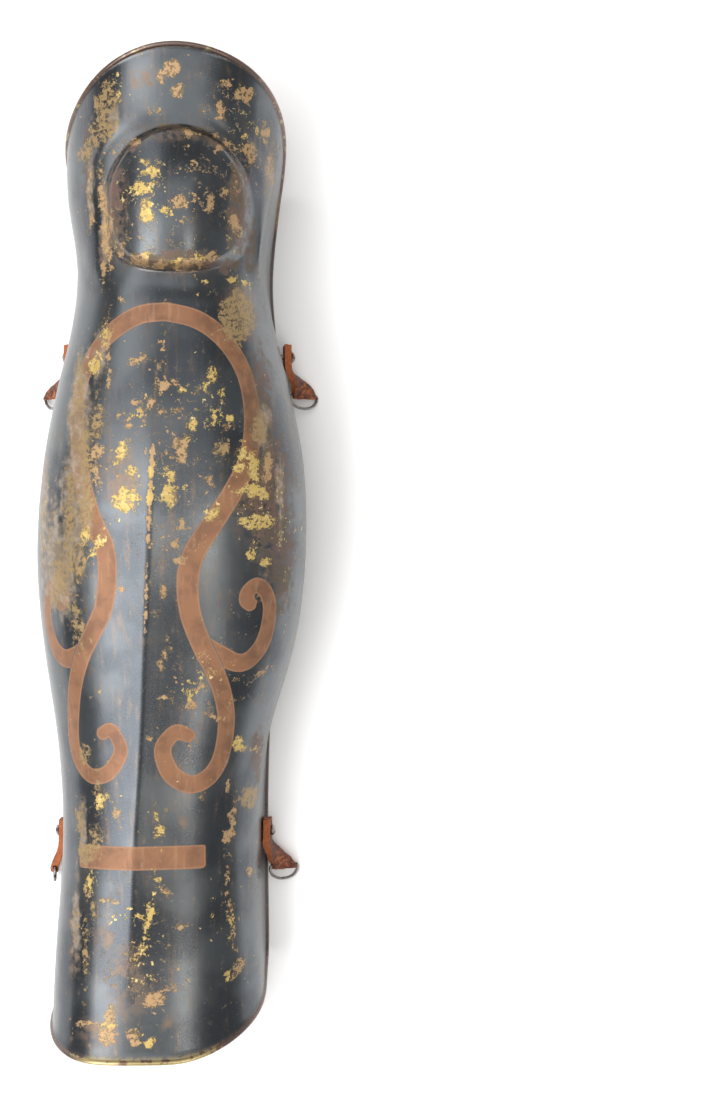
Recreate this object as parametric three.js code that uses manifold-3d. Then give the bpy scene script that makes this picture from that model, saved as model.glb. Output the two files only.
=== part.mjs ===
// A greave for the left leg, with a raised knee boss: one sheet of brass, its edge rolled all round,
// lying on its two long back edges with the shin upwards. Four leather tabs are riveted beside the
// back edges and each holds a steel D-ring for the straps. Units are millimetres, +Z is up, +Y runs
// from the ankle to the knee. The origin is under the middle of the bounding box.
import * as THREE from 'three';
import { mergeVertices } from 'three/addons/utils/BufferGeometryUtils.js';
import Module from 'manifold-3d';

// ---- driving dimensions ----
const SHEET = 1.2;                 // thickness of the brass
const ROLL_RADIUS = 1.3;           // the edge is turned outwards round a wire
// Each end of the sheet: y at the crest, how far the cut falls back down either side, and how far
// its rounded corner falls back further at the back edge, over a share of the girth.
const KNEE_CUT = { y: 238.5, fallLeft: 56, fallRight: 46, start: 0, corner: 12, cornerShare: 0.22 };
const ANKLE_CUT = { y: -243.5, fallLeft: -18, fallRight: -31, start: 0.16, corner: -12, cornerShare: 0.24 };

// Cross-sections from ankle to knee. crest is the x of the shin line and top its height; left and
// right are the x of the widest lines and girdle their height; backLeft and backRight are the back
// edges; fullness is 2 for an ellipse and more for a squarer arch; keel is the height of the ridge.
const FIELDS = ['y', 'crest', 'top', 'left', 'right', 'girdle', 'backLeft', 'backRight', 'fullness', 'keel'];
const SECTIONS = [
  [-246, -18, 73, -61.5, 47, 24, -58, 46, 2.5, 0],
  [-195, -17.5, 68, -59, 44.5, 24, -57, 45.5, 2.5, 1.5],
  [-135, -14.8, 71, -55, 43.5, 27, -53, 45, 2.5, 3.5],
  [-90, -11.3, 78, -57, 47.5, 32, -53, 46, 2.5, 3.8],
  [-45, -8.8, 86, -63, 61.5, 38, -54, 49, 2.5, 3.8],
  [0, -6.3, 93, -66, 67, 42, -55, 52, 2.5, 3.8],
  [45, -3.7, 97, -62.5, 66, 42, -54, 52.5, 2.5, 3.2],
  [85, 0, 96, -55.5, 58, 38, -51, 51, 2.5, 1],
  [108, 2, 93.5, -49.5, 52, 36, -49, 49.5, 2.5, 0.4],
  [140, 4, 90, -46.8, 46, 34, -48, 47.5, 2.5, 0],
  [175, 5, 90, -51.5, 51, 34, -51, 50.5, 2.6, 0],
  [205, 5.5, 92, -51.5, 56, 34, -52.5, 55, 2.5, 0],
  [243, 6, 99, -45, 59, 36, -46, 58, 2.5, 0],
].map((values) => Object.fromEntries(FIELDS.map((field, i) => [field, values[i]])));
const KEEL_SPREAD = 15;            // how quickly the ridge dies away to either side

// The knee boss is round above and square-cornered below.
const BOSS = { x: 5.5, y: 168, halfWidth: 33, halfLength: 33, rise: 12, squareness: 4 };
const BOSS_SHOULDER = 0.72;        // height of the boss just inside its edge, as a share of its rise
const BOSS_STEP = [0.84, 1.06];    // the reach over which its edge drops to the sheet
const BOSS_FOLD = { height: 2.2, reach: 1.24, spread: 0.12 };   // soft folds down either side of it

// Straps: y of each rivet, and how far the tab leans from upright (degrees), at the rivet and at its
// other end, where it has twisted away from the wall.
const TABS = [
  { place: 'upper_right', side: 1, y: 101, start: -6, splay: 58 },
  { place: 'upper_left', side: -1, y: 101, start: -6, splay: 42 },
  { place: 'lower_right', side: 1, y: -141, start: 3, splay: 62 },
  { place: 'lower_left', side: -1, y: -141, start: 2, splay: 10 },
];
const RIVET = { height: 13, shank: 1.3, dome: 2.9, domeHeight: 1.9, tailShare: 0.8 };
const LEATHER = { width: 13, layer: 1.9, length: 27, aboveRivet: 6, slit: 0.35, slitStart: 0.42 };
const RING = { wire: 0.8, halfWidth: 8, depth: 7.5, bowShare: 1.2 };
const STRAIGHT_SHARE = 0.36;       // the part of a tab round its rivet that lies flat on the wall
const WALL_CURVE = 0.1;            // room for the bulge of the wall behind a tab
const LIFT = 0.6;                  // clearance of tabs and rings above the ground
const GAP = 0.3;                   // clearance between neighbouring pieces

// Mesh fineness. Columns go from the crest to a back edge as shares of the girth; rows go from the
// ankle to the knee, finer where the edge of the boss crosses them.
const COLUMNS = [0, 0.06, 0.12, 0.18, 0.22, 0.25, 0.275, 0.3, 0.325, 0.355, 0.41, 0.48, 0.56, 0.64, 0.72,
  0.79, 0.86, 0.92, 0.965, 1];
const ROWS = [{ to: 126, count: 22 }, { to: 150, count: 8 }, { to: 186, count: 5 }, { to: 206, count: 6 },
  { to: KNEE_CUT.y, count: 5 }];
const END_POWER = 7;               // how closely the bent rows crowd towards each end
const TAB_STEPS = 28;
const ROUND_SIDES = 14;            // sides of rivets and of the holes they pass through
const DOME_STEPS = 5;
const RING_STEPS = 42;
const ARCH_STEPS = 40;
const WALL_STEPS = 14;
const SLOPE_STEP = 0.5;            // spacing for finding the surface's normal
const MERGE_DISTANCE = 1e-4;

const BRASS = { color: 0x4b5054, roughness: 0.42, metalness: 0.75 };
const TAN_LEATHER = { color: 0x8a4b2c, roughness: 0.9, metalness: 0 };
const STEEL = { color: 0x6e6a66, roughness: 0.4, metalness: 1 };

const wasm = await Module();
wasm.setup();

// ---- small helpers ----
const clamp = (value, low, high) => Math.min(high, Math.max(low, value));
const mix = (a, b, share) => a + (b - a) * share;

function smooth(low, high, value) {
  const t = clamp((value - low) / (high - low), 0, 1);
  return t * t * (3 - 2 * t);
}

function closedGeometry(positions, triangles) {
  const geometry = new THREE.BufferGeometry();
  geometry.setAttribute('position', new THREE.Float32BufferAttribute(positions, 3));
  geometry.setIndex(triangles);
  return geometry;
}

function toSolid(source) {
  const geometry = source.clone();
  geometry.deleteAttribute('normal');
  geometry.deleteAttribute('uv');
  const merged = mergeVertices(geometry, MERGE_DISTANCE);
  return new wasm.Manifold(new wasm.Mesh({
    numProp: 3,
    vertProperties: new Float32Array(merged.attributes.position.array),
    triVerts: new Uint32Array(merged.index.array),
  }));
}

function toGeometry(solid) {
  const mesh = solid.getMesh();
  return closedGeometry(Array.from(mesh.vertProperties), Array.from(mesh.triVerts));
}

function piece(name, geometry, finish) {
  const mesh = new THREE.Mesh(geometry, new THREE.MeshStandardMaterial(finish));
  mesh.name = name;
  return mesh;
}

// ---- the form of the sheet ----
const edgeHeight = ROLL_RADIUS * (1 + Math.cos(Math.PI / 6));   // the sheet's back edge above the ground

// Every field of the sections at y, on a smooth curve through the sections.
function sectionAt(y) {
  const last = SECTIONS.length - 2;
  let i = 0;
  while (i < last && y > SECTIONS[i + 1].y) i += 1;
  const a = SECTIONS[i];
  const b = SECTIONS[i + 1];
  const before = SECTIONS[Math.max(i - 1, 0)];
  const after = SECTIONS[Math.min(i + 2, last + 1)];
  const span = b.y - a.y;
  const t = clamp((y - a.y) / span, 0, 1);
  const section = {};
  for (const field of FIELDS) {
    const slopeA = (b[field] - before[field]) / (b.y - before.y) * span;
    const slopeB = (after[field] - a[field]) / (after.y - a.y) * span;
    section[field] = (2 * t ** 3 - 3 * t ** 2 + 1) * a[field] + (t ** 3 - 2 * t ** 2 + t) * slopeA
      + (3 * t ** 2 - 2 * t ** 3) * b[field] + (t ** 3 - t ** 2) * slopeB;
  }
  return section;
}

// One half of a section, from the crest over the widest line down to the back edge.
function halfSection(y, side) {
  const section = sectionAt(y);
  const wide = side > 0 ? section.right - section.crest : section.crest - section.left;
  const back = side > 0 ? section.backRight - section.crest : section.crest - section.backLeft;
  const points = [];
  for (let i = 0; i <= ARCH_STEPS; i += 1) {
    const angle = i / ARCH_STEPS * Math.PI / 2;
    const power = 2 / section.fullness;
    points.push([
      wide * Math.sin(angle) ** power,
      section.girdle + (section.top - section.girdle) * Math.max(Math.cos(angle), 0) ** power,
    ]);
  }
  for (let i = 1; i <= WALL_STEPS; i += 1) {
    const t = i / WALL_STEPS;
    points.push([wide + (back - wide) * t * t, mix(section.girdle, edgeHeight, t)]);
  }
  const lengths = [0];
  for (let i = 1; i < points.length; i += 1) {
    const step = Math.hypot(points[i][0] - points[i - 1][0], points[i][1] - points[i - 1][1]);
    lengths.push(lengths[i - 1] + step);
  }
  return { section, points, lengths, girth: lengths[lengths.length - 1] };
}

// How far a point lies out from the middle of the knee boss, 1 at its edge.
function bossReach(x, y) {
  const dx = Math.abs(x - BOSS.x) / BOSS.halfWidth;
  const dy = (y - BOSS.y) / BOSS.halfLength;
  const power = mix(BOSS.squareness, 2, smooth(-0.6, 0.3, dy));
  return (dx ** power + Math.abs(dy) ** power) ** (1 / power);
}

function bossRise(x, y) {
  const reach = bossReach(x, y);
  const dome = mix(1, BOSS_SHOULDER, Math.min(reach, 1) ** 2);
  const step = 1 - smooth(...BOSS_STEP, reach);
  const beside = smooth(0.35, 0.9, Math.abs(x - BOSS.x) / BOSS.halfWidth);
  const fold = beside * Math.exp(-(((reach - BOSS_FOLD.reach) / BOSS_FOLD.spread) ** 2));
  return BOSS.rise * dome * step + BOSS_FOLD.height * fold;
}

// The outer face of the sheet: share runs from -1 at the left back edge over 0 at the crest to 1.
function outerPoint(share, y) {
  const half = halfSection(y, share);
  const distance = Math.min(Math.abs(share), 1) * half.girth;
  let i = 1;
  while (i < half.points.length - 1 && half.lengths[i] < distance) i += 1;
  const t = (distance - half.lengths[i - 1]) / (half.lengths[i] - half.lengths[i - 1]);
  const across = mix(half.points[i - 1][0], half.points[i][0], t);
  const height = mix(half.points[i - 1][1], half.points[i][1], t);
  const x = half.section.crest + Math.sign(share) * across;
  const above = smooth(edgeHeight, half.section.girdle, height);
  const keel = half.section.keel * Math.exp(-across / KEEL_SPREAD);
  return new THREE.Vector3(x, y, height + above * (keel + bossRise(x, y)));
}

function outerNormal(share, y) {
  const girthStep = SLOPE_STEP / halfSection(y, share).girth;
  const low = Math.max(share - girthStep, -1);
  const high = Math.min(share + girthStep, 1);
  const across = outerPoint(high, y).sub(outerPoint(low, y));
  const along = outerPoint(share, y + SLOPE_STEP).sub(outerPoint(share, y - SLOPE_STEP));
  return across.cross(along).normalize();
}

// How far the sheet's end falls back at a share of the girth.
function fallAt(cut, share) {
  const fall = (share < 0 ? cut.fallLeft : cut.fallRight) * smooth(cut.start, 1, Math.abs(share));
  const t = clamp((Math.abs(share) - (1 - cut.cornerShare)) / cut.cornerShare, 0, 1);
  return fall + cut.corner * (1 - Math.sqrt(1 - t * t));
}

// y of a point that lies at rowY on the crest, after its row bends with the nearer end.
function bentRow(rowY, share) {
  const row = (rowY - ANKLE_CUT.y) / (KNEE_CUT.y - ANKLE_CUT.y);
  const kneeFall = fallAt(KNEE_CUT, share) * row ** END_POWER;
  const ankleFall = fallAt(ANKLE_CUT, share) * (1 - row) ** END_POWER;
  return rowY - kneeFall - ankleFall;
}

// ---- the brass sheet with its rolled edge ----
// The roll's outline round a sheet edge: off runs away from the sheet's edge, out from its inner face.
const ROLL_POINTS = [150, 90, 30, -30, -90].map((degrees) => {
  const angle = degrees * Math.PI / 180;
  return { off: ROLL_RADIUS * (1 + Math.cos(angle)), out: ROLL_RADIUS * (1 + Math.sin(angle)) };
});

function rowPlaces() {
  const places = [ANKLE_CUT.y];
  for (const { to, count } of ROWS) {
    const from = places[places.length - 1];
    for (let i = 1; i <= count; i += 1) places.push(mix(from, to, i / count));
  }
  return places;
}

function boundaryLoop(columns, rows) {
  const loop = [];
  for (let u = 0; u < columns; u += 1) loop.push([u, 0]);
  for (let v = 0; v < rows; v += 1) loop.push([columns, v]);
  for (let u = columns; u > 0; u -= 1) loop.push([u, rows]);
  for (let v = rows; v > 0; v -= 1) loop.push([0, v]);
  return loop;
}

function shellGeometry() {
  const leftShares = COLUMNS.slice(1).reverse().map((share) => -share);
  const shares = [...leftShares, ...COLUMNS];
  const rows = rowPlaces();
  const columnCount = shares.length - 1;
  const rowCount = rows.length - 1;
  const outer = [];
  const normals = [];
  for (const row of rows) {
    for (const share of shares) {
      const y = bentRow(row, share);
      const normal = outerNormal(share, y);
      if (Math.abs(share) === 1) normal.set(Math.sign(share), 0, 0);
      outer.push(outerPoint(share, y));
      normals.push(normal);
    }
  }
  const inner = outer.map((point, i) => point.clone().addScaledVector(normals[i], -SHEET));
  const at = (u, v) => v * shares.length + u;
  const innerStart = outer.length;
  const triangles = [];
  const quad = (a, b, c, d) => triangles.push(a, b, c, a, c, d);
  for (let v = 0; v < rowCount; v += 1) {
    for (let u = 0; u < columnCount; u += 1) {
      const corners = [at(u, v), at(u + 1, v), at(u + 1, v + 1), at(u, v + 1)];
      quad(...corners);
      quad(...corners.map((corner) => corner + innerStart).reverse());
    }
  }

  // The roll: five lines of points round the whole edge, between the outer and the inner face.
  const loop = boundaryLoop(columnCount, rowCount);
  const rolled = [];
  loop.forEach(([u, v], i) => {
    const before = outer[at(...loop[(i + loop.length - 1) % loop.length])];
    const after = outer[at(...loop[(i + 1) % loop.length])];
    const normal = normals[at(u, v)];
    const off = after.clone().sub(before).cross(normal).normalize();
    if (u === 0 || u === columnCount) off.set(0, 0, -1);
    for (const point of ROLL_POINTS) {
      rolled.push(inner[at(u, v)].clone().addScaledVector(off, point.off).addScaledVector(normal, point.out));
    }
  });
  const rollStart = innerStart + inner.length;
  loop.forEach((here, i) => {
    const next = (i + 1) % loop.length;
    const chain = (place, order) => [
      at(...place),
      ...ROLL_POINTS.map((_, k) => rollStart + order * ROLL_POINTS.length + k),
      at(...place) + innerStart,
    ];
    const chainHere = chain(here, i);
    const chainNext = chain(loop[next], next);
    for (let k = 0; k < chainHere.length - 1; k += 1) {
      quad(chainNext[k], chainHere[k], chainHere[k + 1], chainNext[k + 1]);
    }
  });
  const positions = [...outer, ...inner, ...rolled].flatMap((point) => point.toArray());
  return closedGeometry(positions, triangles);
}

// ---- straps ----

// x of the wall's outer face on one side, at a height below the widest line.
function wallX(side, y, height) {
  const section = sectionAt(y);
  const t = clamp((section.girdle - height) / (section.girdle - edgeHeight), 0, 1);
  const wide = side > 0 ? section.right : section.left;
  const back = side > 0 ? section.backRight : section.backLeft;
  return mix(wide, back, t * t);
}

// Where a tab's middle line lies at a share of its length, and which way its width and face point.
function tabFrame(tab, share) {
  const twist = smooth(STRAIGHT_SHARE, 1, share);
  const angle = THREE.MathUtils.degToRad(mix(tab.start, tab.splay, twist));
  const y = tab.y + LEATHER.aboveRivet - LEATHER.length * share;
  const nearestY = mix(tab.y - LEATHER.length * STRAIGHT_SHARE, y - RING.depth, twist);
  const down = new THREE.Vector3(tab.side * Math.sin(angle), 0, -Math.cos(angle));
  const face = new THREE.Vector3(tab.side * Math.cos(angle), 0, Math.sin(angle));
  const restHeight = Math.max(
    LIFT + LEATHER.width * Math.cos(angle) + LEATHER.layer * Math.sin(Math.abs(angle)),
    LIFT + (LEATHER.width / 2 + RING.halfWidth + RING.wire) * Math.cos(angle) + RING.wire,
  );
  const topHeight = mix(RIVET.height + LEATHER.width / 2, restHeight, twist);
  const wall = Math.max(...[0, 0.5, 1].map((t) => {
    const height = topHeight - t * LEATHER.width;
    return tab.side * wallX(tab.side, nearestY, height) - t * LEATHER.width * Math.sin(angle);
  }));
  const ringRoom = twist * (RING.halfWidth + 2 * RING.wire - LEATHER.width / 2);
  const out = wall + GAP + LEATHER.layer * Math.cos(angle) + ringRoom + WALL_CURVE;
  const middle = new THREE.Vector3(tab.side * out, y, topHeight).addScaledVector(down, LEATHER.width / 2);
  return { middle, down, face };
}

// A twisted slab along a tab from one share of its length to another.
function tabSlab(tab, from, to, width, thickness) {
  const positions = [];
  const triangles = [];
  const corners = [[-1, -1], [1, -1], [1, 1], [-1, 1]];
  for (let i = 0; i <= TAB_STEPS; i += 1) {
    const { middle, down, face } = tabFrame(tab, mix(from, to, i / TAB_STEPS));
    for (const [across, through] of corners) {
      const point = middle.clone().addScaledVector(down, across * width / 2)
        .addScaledVector(face, through * thickness / 2);
      positions.push(...point.toArray());
    }
  }
  const facesOut = tab.side < 0;
  const quad = (a, b, c, d) => triangles.push(...(facesOut ? [a, b, c, a, c, d] : [a, c, b, a, d, c]));
  for (let i = 0; i < TAB_STEPS; i += 1) {
    for (let k = 0; k < 4; k += 1) {
      const next = (k + 1) % 4;
      quad(4 * i + k, 4 * i + 4 + k, 4 * i + 4 + next, 4 * i + next);
    }
  }
  const end = 4 * TAB_STEPS;
  quad(0, 1, 2, 3);
  quad(end + 3, end + 2, end + 1, end);
  return toSolid(closedGeometry(positions, triangles));
}

// A piece made along Y, turned to an axis and moved to a place.
function turned(geometry, axis, position) {
  const turn = new THREE.Quaternion().setFromUnitVectors(new THREE.Vector3(0, 1, 0), axis);
  return geometry.applyQuaternion(turn).translate(...position.toArray());
}

// The ring's bar lies in the fold, about one layer of leather from the tab's end.
const barShare = 1 - (LEATHER.layer + GAP) / LEATHER.length;

function cylinderAlong(axis, middle, radius, length) {
  return toSolid(turned(new THREE.CylinderGeometry(radius, radius, length, ROUND_SIDES), axis, middle));
}

function leatherGeometry(tab) {
  const bar = tabFrame(tab, barShare);
  const eye = cylinderAlong(bar.down, bar.middle, RING.wire + GAP, 2 * LEATHER.width);
  const slit = tabSlab(tab, LEATHER.slitStart, barShare, LEATHER.width + GAP, LEATHER.slit);
  const folded = tabSlab(tab, 0, 1, LEATHER.width, 2 * LEATHER.layer);
  return toGeometry(folded.subtract(eye).subtract(rivetHole(tab)).subtract(slit));
}

// A rivet stands square to its tab, in the middle of the tab's width.
function rivetFrame(tab) {
  const { middle, face } = tabFrame(tab, LEATHER.aboveRivet / LEATHER.length);
  return { middle, axis: face };
}

// A round head from its rim to its middle, for a lathe.
function domeProfile(radius, height, base, outwards) {
  const points = [];
  for (let i = 0; i < DOME_STEPS; i += 1) {
    const angle = i / DOME_STEPS * Math.PI / 2;
    points.push(new THREE.Vector2(radius * Math.cos(angle), base + outwards * height * Math.sin(angle)));
  }
  return [...points, new THREE.Vector2(0, base + outwards * height)];
}

// The rivet runs from its dome on the leather through the sheet to a low hammered head inside.
function rivetGeometry(tab) {
  const { middle, axis } = rivetFrame(tab);
  const wall = tab.side * wallX(tab.side, tab.y, RIVET.height);
  const throughSheet = tab.side * middle.x - wall + SHEET / Math.abs(axis.x);
  const tailBase = -throughSheet - 2 * GAP;
  const headBase = LEATHER.layer + GAP;
  const tailHeight = RIVET.domeHeight * RIVET.tailShare ** 2;
  const profile = [
    ...domeProfile(RIVET.dome * RIVET.tailShare, tailHeight, tailBase, -1).reverse(),
    new THREE.Vector2(RIVET.shank, tailBase),
    new THREE.Vector2(RIVET.shank, headBase),
    ...domeProfile(RIVET.dome, RIVET.domeHeight, headBase, 1),
  ];
  return turned(new THREE.LatheGeometry(profile, ROUND_SIDES), axis, middle);
}

// The hole for a rivet, through both layers of leather and the sheet.
function rivetHole(tab) {
  const { middle, axis } = rivetFrame(tab);
  return cylinderAlong(axis, middle, RIVET.shank + GAP, 2 * LEATHER.width);
}

// The D-ring: a straight bar through the fold of the leather and a bow beyond the tab's end. It sits
// halfway between the tab's middle at the bar and at the end, so that it clears both sides of the twist.
function ringGeometry(tab) {
  const { middle: barMiddle, down } = tabFrame(tab, barShare);
  const drift = tabFrame(tab, 1).middle.sub(barMiddle).dot(down);
  const middle = barMiddle.addScaledVector(down, drift / 2);
  const away = new THREE.Vector3(0, -1, 0);
  const at = (across, beyond) => middle.clone().addScaledVector(down, across).addScaledVector(away, beyond);
  const wide = RING.halfWidth;
  const straight = LEATHER.width / 2;
  const corner = wide - straight;
  const belly = RING.depth * RING.bowShare;
  const path = new THREE.CurvePath();
  path.add(new THREE.LineCurve3(at(0, 0), at(straight, 0)));
  path.add(new THREE.QuadraticBezierCurve3(at(straight, 0), at(wide, 0), at(wide, corner)));
  path.add(new THREE.CubicBezierCurve3(at(wide, corner), at(wide, belly),
    at(-wide, belly), at(-wide, corner)));
  path.add(new THREE.QuadraticBezierCurve3(at(-wide, corner), at(-wide, 0), at(-straight, 0)));
  path.add(new THREE.LineCurve3(at(-straight, 0), at(0, 0)));
  const points = path.getSpacedPoints(RING_STEPS + 2).slice(0, -1);
  const loop = new THREE.CatmullRomCurve3(points, true);
  const wire = new THREE.Shape();
  wire.absarc(0, 0, RING.wire, 0, 2 * Math.PI);
  return new THREE.ExtrudeGeometry(wire, { steps: RING_STEPS, curveSegments: 4, extrudePath: loop });
}

// ---- the assembly ----
function makeShell() {
  let shell = toSolid(shellGeometry());
  for (const tab of TABS) shell = shell.subtract(rivetHole(tab));
  return piece('greave_shell', toGeometry(shell), BRASS);
}

const greave = new THREE.Group();
greave.add(makeShell());
for (const tab of TABS) {
  greave.add(piece(`strap_tab_${tab.place}`, leatherGeometry(tab), TAN_LEATHER));
  greave.add(piece(`rivet_${tab.place}`, rivetGeometry(tab), STEEL));
  greave.add(piece(`d_ring_${tab.place}`, ringGeometry(tab), STEEL));
}

// Centre the bounding box over the origin. The back edges already stand at z = 0.
const box = new THREE.Box3().setFromObject(greave);
const middle = box.getCenter(new THREE.Vector3());
greave.position.set(-middle.x, -middle.y, 0);

export default greave;
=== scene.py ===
"""The looks of a blackened brass greave that lies on a pale table.

The sheet carries a flush copper scroll under a black patina that has flaked to copper and yellow
brass. Each of its four strap fittings is a folded leather tab, a domed rivet and a D-ring.
Lengths are in metres unless a name ends in _mm. +Z is up and +Y runs from the ankle to the knee.
"""
import logging
import math
from dataclasses import dataclass
from enum import Enum
from typing import Optional, Sequence, Union

import bmesh
import bpy
import numpy as np
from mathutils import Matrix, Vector, noise
from mathutils.bvhtree import BVHTree


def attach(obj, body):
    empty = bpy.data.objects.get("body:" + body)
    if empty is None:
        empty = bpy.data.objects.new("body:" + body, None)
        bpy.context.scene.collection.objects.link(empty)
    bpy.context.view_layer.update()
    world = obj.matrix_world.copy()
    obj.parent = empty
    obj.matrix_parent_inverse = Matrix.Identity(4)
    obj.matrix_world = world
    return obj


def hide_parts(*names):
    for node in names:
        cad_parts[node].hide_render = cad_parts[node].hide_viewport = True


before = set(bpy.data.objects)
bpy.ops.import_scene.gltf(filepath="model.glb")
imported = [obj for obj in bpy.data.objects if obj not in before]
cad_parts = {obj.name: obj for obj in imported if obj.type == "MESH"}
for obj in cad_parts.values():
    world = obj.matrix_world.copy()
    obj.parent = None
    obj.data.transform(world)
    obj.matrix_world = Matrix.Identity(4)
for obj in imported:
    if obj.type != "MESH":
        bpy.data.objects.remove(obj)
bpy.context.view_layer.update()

MM = 0.001
BODY = "root"
MERGE_DISTANCE = 0.00002
log = logging.getLogger("greave")

Colour = tuple[float, float, float]
Value = Union["Field", float]


# ---- shader sums ----
class Field:
    """A shader value that can be used in sums."""

    def __init__(self, shader: "Nodes", socket: bpy.types.NodeSocket) -> None:
        """Keep the shader and the node's output."""
        self.shader = shader
        self.socket = socket

    def _math(self, operation: str, *values: Value) -> "Field":
        """Add a Math node over these values.

        Args:
            operation: the Math node's operation.
            values: its inputs, in order.

        Returns:
            The node's result.
        """
        return self.shader.node("ShaderNodeMath", {"operation": operation}, dict(enumerate(values)))

    def __add__(self, other: Value) -> "Field":
        """Sum."""
        return self._math("ADD", self, other)

    def __radd__(self, other: Value) -> "Field":
        """Sum with the value on the left."""
        return self._math("ADD", other, self)

    def __sub__(self, other: Value) -> "Field":
        """Difference."""
        return self._math("SUBTRACT", self, other)

    def __rsub__(self, other: Value) -> "Field":
        """Difference with the value on the left."""
        return self._math("SUBTRACT", other, self)

    def __mul__(self, other: Value) -> "Field":
        """Product."""
        return self._math("MULTIPLY", self, other)

    def __rmul__(self, other: Value) -> "Field":
        """Product with the value on the left."""
        return self._math("MULTIPLY", other, self)

    def __abs__(self) -> "Field":
        """Size without its sign."""
        return self._math("ABSOLUTE", self)

    def least(self, other: Value) -> "Field":
        """The smaller of two values."""
        return self._math("MINIMUM", self, other)

    def most(self, other: Value) -> "Field":
        """The larger of two values."""
        return self._math("MAXIMUM", self, other)

    def step(self, start: float, end: float) -> "Field":
        """A soft step.

        Args:
            start: the value where the step is 0.
            end: the value where it is 1, which may be the lower one.

        Returns:
            The step, from 0 to 1.
        """
        settings = {"interpolation_type": "SMOOTHSTEP"}
        if start < end:
            return self.shader.node("ShaderNodeMapRange", settings, {0: self, 1: start, 2: end})
        return 1.0 - self.shader.node("ShaderNodeMapRange", settings, {0: self, 1: end, 2: start})


class Nodes:
    """An emptied node tree and the one way to add a node to it."""

    def __init__(self, owner: Union[bpy.types.Material, bpy.types.World]) -> None:
        """Empty a node tree.

        Args:
            owner: the material or the world that the tree belongs to.
        """
        owner.use_nodes = True
        self.tree = owner.node_tree
        self.tree.nodes.clear()

    def node(
        self, kind: str, settings: dict, inputs: dict, output: Union[int, str] = 0
    ) -> Optional[Field]:
        """Add a node.

        Args:
            kind: the node's type.
            settings: its properties, which are set first.
            inputs: a value or a Field for each input, by name or number.
            output: the name or number of the wanted output.

        Returns:
            The output, ready for sums, or None for a node without outputs.
        """
        made = self.tree.nodes.new(kind)
        for name, value in settings.items():
            setattr(made, name, value)
        for key, value in inputs.items():
            if isinstance(value, Field):
                self.tree.links.new(value.socket, made.inputs[key])
            else:
                made.inputs[key].default_value = value
        return Field(self, made.outputs[output]) if made.outputs else None


class Shader(Nodes):
    """One material and the nodes that make its surface."""

    def __init__(self, name: str) -> None:
        """Start an empty material.

        Args:
            name: the material's name.
        """
        self.material = bpy.data.materials.new(name)
        super().__init__(self.material)
        self.place = self.node("ShaderNodeTexCoord", {}, {}, "Object")

    def attribute(self, name: str) -> Field:
        """A number stored on the mesh's points."""
        return self.node("ShaderNodeAttribute", {"attribute_name": name}, {}, "Fac")

    def stretched(self, scale: Colour) -> Field:
        """The place on the object, scaled along each axis."""
        return self.node("ShaderNodeMapping", {}, {"Vector": self.place, "Scale": scale}, "Vector")

    def noise(
        self, size_mm: float, detail: float = 2.0, roughness: float = 0.5,
        place: Optional[Field] = None,
    ) -> Field:
        """Smooth random mottling.

        Args:
            size_mm: the size of its largest spots.
            detail: how many finer layers it has.
            roughness: how strong those are.
            place: where to read it, when not at the place on the object.

        Returns:
            A value around 0.5.
        """
        inputs = {"Vector": place or self.place, "Scale": 1 / (size_mm * MM)}
        inputs.update({"Detail": detail, "Roughness": roughness})
        return self.node("ShaderNodeTexNoise", {}, inputs)

    def cells(self, size_mm: float) -> Field:
        """Distance to the nearest of randomly scattered points, near 0 to 1."""
        inputs = {"Vector": self.place, "Scale": 1 / (size_mm * MM)}
        return self.node("ShaderNodeTexVoronoi", {"feature": "F1"}, inputs, "Distance")

    def colour(self, value: Colour) -> tuple[float, ...]:
        """A colour with its alpha."""
        return (*value, 1.0)

    def blend(
        self, share: Value, first: Union[Field, Colour], second: Union[Field, Colour]
    ) -> Field:
        """Mix two colours.

        Args:
            share: 0 for the first and 1 for the second.
            first: a colour or a Field.
            second: a colour or a Field.

        Returns:
            The mixed colour.
        """
        first, second = (c if isinstance(c, Field) else self.colour(c) for c in (first, second))
        settings = {"data_type": "RGBA", "clamp_factor": True}
        return self.node("ShaderNodeMix", settings, {0: share, 6: first, 7: second}, 2)

    def surface(
        self, constants: dict, varying: dict, height: Field, depth_mm: float
    ) -> bpy.types.Material:
        """Finish the material.

        Args:
            constants: numbers for sockets of the surface shader that are the same all over.
            varying: Fields for sockets that change over the surface.
            height: the relief, from 0 to about 1.
            depth_mm: how deep that relief is.

        Returns:
            The material.
        """
        relief = {"Height": height, "Distance": depth_mm * MM}
        bump = self.node("ShaderNodeBump", {}, relief, "Normal")
        inputs = {**constants, **varying, "Normal": bump}
        shader = self.node("ShaderNodeBsdfPrincipled", {}, inputs, "BSDF")
        self.node("ShaderNodeOutputMaterial", {}, {"Surface": shader})
        return self.material


# ---- meshes ----
def deselect_all() -> None:
    """Leave object mode's selection empty."""
    if bpy.context.object and bpy.context.object.mode != "OBJECT":
        bpy.ops.object.mode_set(mode="OBJECT")
    bpy.ops.object.select_all(action="DESELECT")


def make_active(piece: bpy.types.Object) -> None:
    """Select one piece alone and make it the active one.

    Args:
        piece: the piece.
    """
    deselect_all()
    piece.select_set(True)
    bpy.context.view_layer.objects.active = piece


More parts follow.
